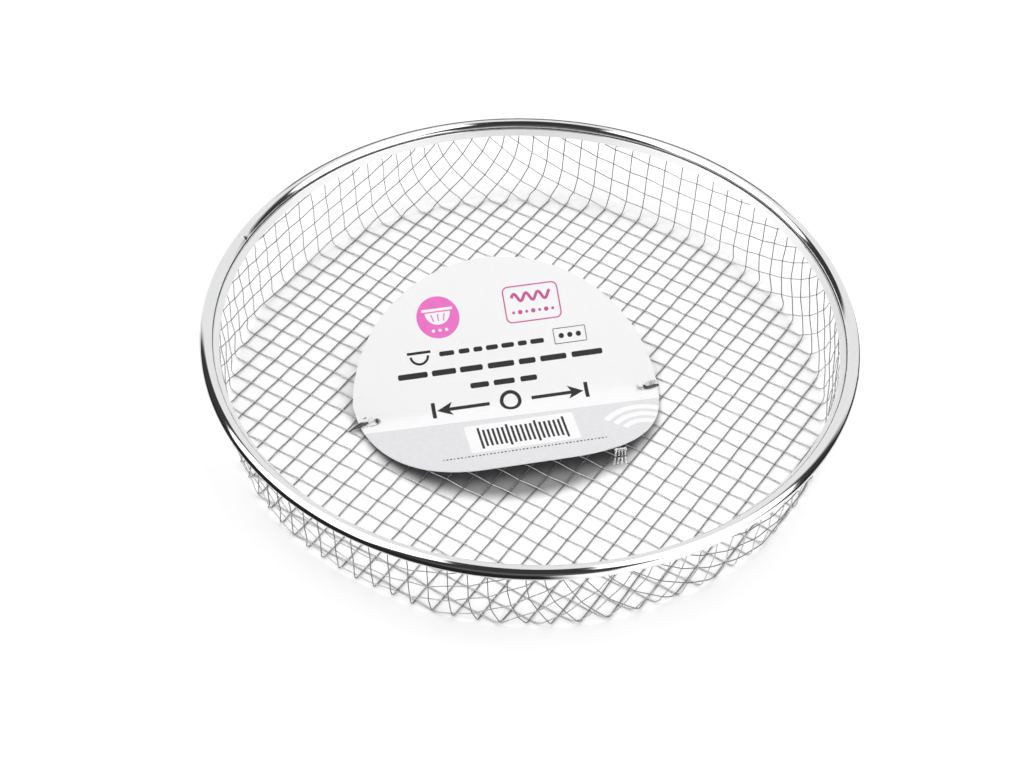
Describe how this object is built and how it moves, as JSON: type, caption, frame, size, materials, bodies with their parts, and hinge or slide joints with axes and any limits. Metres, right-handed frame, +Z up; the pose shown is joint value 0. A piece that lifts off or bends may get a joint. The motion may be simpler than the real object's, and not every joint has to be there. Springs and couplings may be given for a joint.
{
  "type": "wire mesh strainer basket",
  "caption": "Shallow round draining basket of woven stainless wire with a flat floor, a nearly upright wall and a rolled rim, with a paper card tied to its floor.",
  "frame": {"origin": "middle of the basket, at the level of the lowest wire knuckles, which it stands on", "axes": "+Z up through the open mouth; warp wires run along Y on the floor and weft wires along X"},
  "size_m": [0.2098, 0.2098, 0.0319],
  "materials": {
    "wire": "bright drawn wire",
    "rim": "polished stainless sheet",
    "card": "white coated card, printed",
    "tie": "glossy strap",
    "tab": "clear, ribbed"
  },
  "bodies": {
    "root": {"warp_wire_01": "wire", "warp_wire_02": "wire", "warp_wire_03": "wire", "warp_wire_04": "wire", "warp_wire_05": "wire", "warp_wire_06": "wire", "warp_wire_07": "wire", "warp_wire_08": "wire", "warp_wire_09": "wire", "warp_wire_10": "wire", "warp_wire_11": "wire", "warp_wire_12": "wire", "warp_wire_13": "wire", "warp_wire_14": "wire", "warp_wire_15": "wire", "warp_wire_16": "wire", "warp_wire_17": "wire", "warp_wire_18": "wire", "warp_wire_19": "wire", "warp_wire_20": "wire", "warp_wire_21": "wire", "warp_wire_22": "wire", "warp_wire_23": "wire", "warp_wire_24": "wire", "warp_wire_25": "wire", "warp_wire_26": "wire", "warp_wire_27": "wire", "warp_wire_28": "wire", "warp_wire_29": "wire", "warp_wire_30": "wire", "warp_wire_31": "wire", "warp_wire_32": "wire", "warp_wire_33": "wire", "warp_wire_34": "wire", "warp_wire_35": "wire", "warp_wire_36": "wire", "warp_wire_37": "wire", "warp_wire_38": "wire", "warp_wire_39": "wire", "weft_wires": "wire", "rim_band_a": "rim", "rim_band_b": "rim", "label_card": "card", "tie_left": "tie", "tie_right": "tie", "tie_tab": "tab"}
  },
  "joints": []
}
